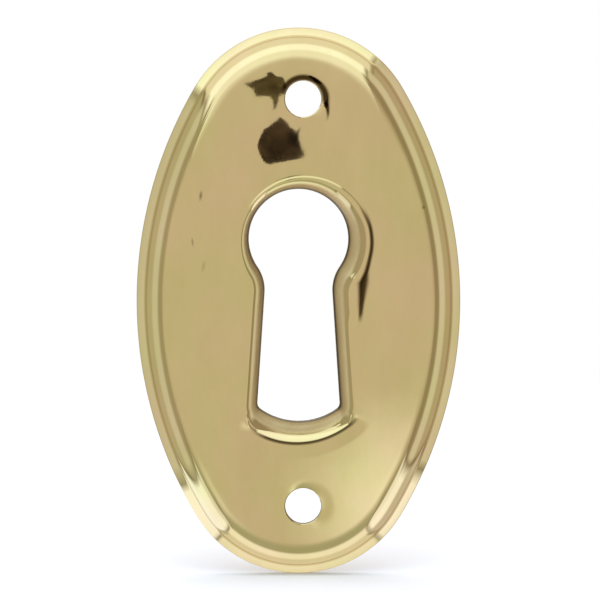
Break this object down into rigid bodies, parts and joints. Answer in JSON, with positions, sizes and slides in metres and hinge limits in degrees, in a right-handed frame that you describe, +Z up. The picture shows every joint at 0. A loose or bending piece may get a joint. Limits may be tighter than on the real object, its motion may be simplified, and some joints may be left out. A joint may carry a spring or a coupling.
{
  "type": "keyhole escutcheon",
  "caption": "Oval keyhole escutcheon pressed from brass sheet: a narrow brim, a raised field, a lip turned back into the keyhole, and a screw hole above and below it.",
  "frame": {"origin": "centre of the oval back face, in the plane that meets the drawer front", "axes": "+Z up the plate towards the round end of the keyhole, +Y out of the back into the drawer front, +X to the right as seen from the front"},
  "size_m": [0.0254, 0.0018, 0.0428],
  "materials": {
    "polished_brass": "polished, with faint handling scratches"
  },
  "bodies": {
    "root": {"escutcheon_plate": "polished_brass"}
  },
  "joints": []
}
